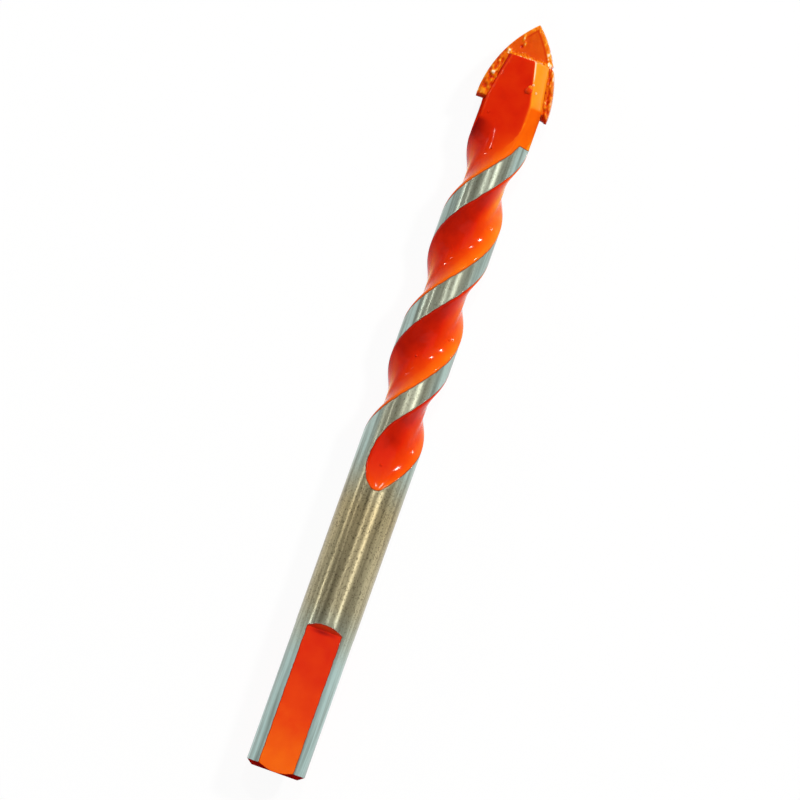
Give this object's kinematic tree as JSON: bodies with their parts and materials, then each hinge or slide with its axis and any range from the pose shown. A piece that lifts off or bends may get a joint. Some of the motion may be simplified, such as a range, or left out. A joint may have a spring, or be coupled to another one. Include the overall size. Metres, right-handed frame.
{
  "type": "glass and tile drill bit",
  "caption": "Straight drill bit with a carbide spear-point plate brazed into a tapered steel head, right-hand helical flutes with enamelled channels, and a three-flat cylindrical shank",
  "frame": {"origin": "centre of the shank's end face, on the bit's axis", "axes": "+X runs along the axis from the shank end to the point, +Z is the outward normal of the shank flat that faces up as the bit lies, +Y completes the right-handed frame"},
  "size_m": [0.103, 0.01, 0.008],
  "materials": {
    "steel": "ground",
    "enamel": "gloss"
  },
  "bodies": {
    "root": {"steel_body": "steel", "carbide_tip": "enamel"}
  },
  "joints": []
}
